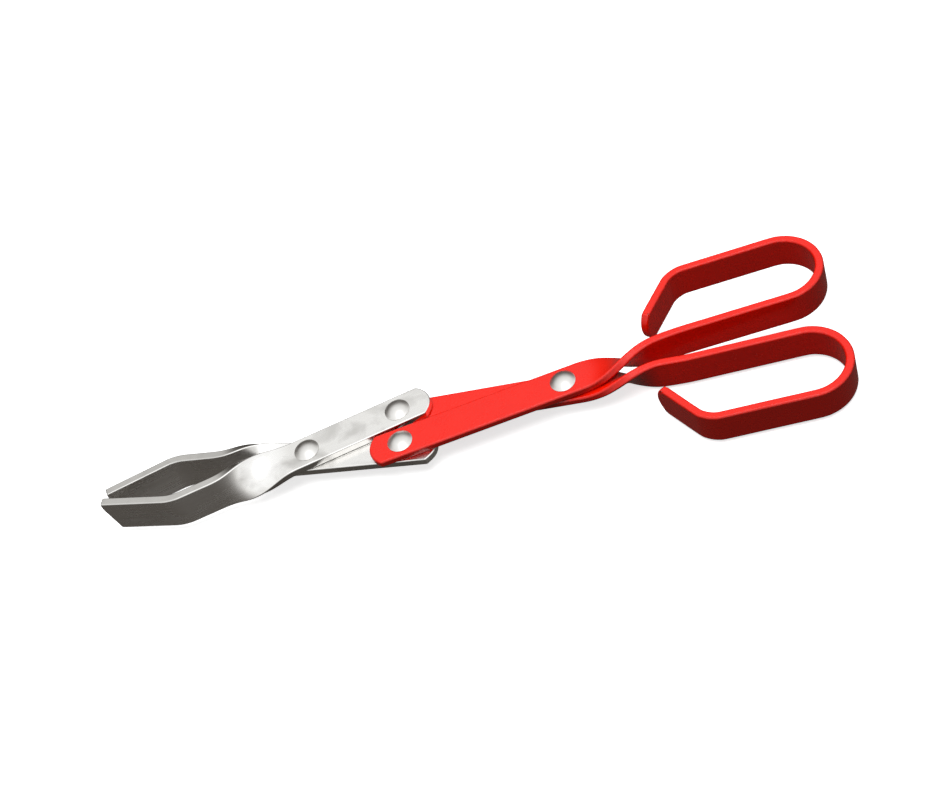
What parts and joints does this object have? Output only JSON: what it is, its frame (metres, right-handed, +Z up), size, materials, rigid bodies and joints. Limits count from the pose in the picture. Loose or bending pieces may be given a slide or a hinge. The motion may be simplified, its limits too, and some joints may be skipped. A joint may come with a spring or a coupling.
{
  "type": "crucible tongs",
  "caption": "Double-jointed steel tongs with twisted strip jaws that meet on edge, and red coated finger loops joined by a riveted kite linkage.",
  "frame": {"origin": "middle of the base of the box around the whole tongs at rest, on the surface that they lie on", "axes": "+X runs along the tongs from the jaw tips to the finger loops, +Y is to the right of a user who holds the loops, +Z is up along the rivets"},
  "size_m": [0.2633, 0.0696, 0.018],
  "materials": {
    "jaw_steel": "polished, with fine grinding marks along the strip",
    "core_steel": "plain rolled strip, under the coating",
    "red_coating": "glossy dipped coating",
    "rivet_steel": "satin"
  },
  "bodies": {
    "right_handle": {"right_handle_core": "core_steel", "right_handle_coating": "red_coating", "handle_pivot_rivet": "rivet_steel", "left_link_rivet": "rivet_steel"},
    "left_handle": {"left_handle_core": "core_steel", "left_handle_coating": "red_coating"},
    "left_jaw": {"left_jaw": "jaw_steel", "jaw_pivot_rivet": "rivet_steel", "right_link_rivet": "rivet_steel"},
    "right_jaw": {"right_jaw": "jaw_steel"}
  },
  "joints": [
    {"name": "handle_pivot", "type": "hinge", "parent": "right_handle", "child": "left_handle", "pos_m": [0.03702, 0, 0.009], "axis": [0, 0, -1], "range_deg": [-0.35, 24]},
    {"name": "left_link", "type": "hinge", "parent": "right_handle", "child": "right_jaw", "pos_m": [-0.02186, -0.00702, 0.009], "axis": [0, 0, -1], "range_deg": [-0.5, 34]},
    {"name": "right_link", "type": "hinge", "parent": "left_handle", "child": "left_jaw", "pos_m": [-0.02186, 0.00702, 0.009], "axis": [0, 0, 1], "range_deg": [-0.5, 34]}
  ],
  "couplings": [
    {"joint": "left_link", "follows": "handle_pivot", "ratio": 1.403},
    {"joint": "right_link", "follows": "handle_pivot", "ratio": 1.403}
  ]
}
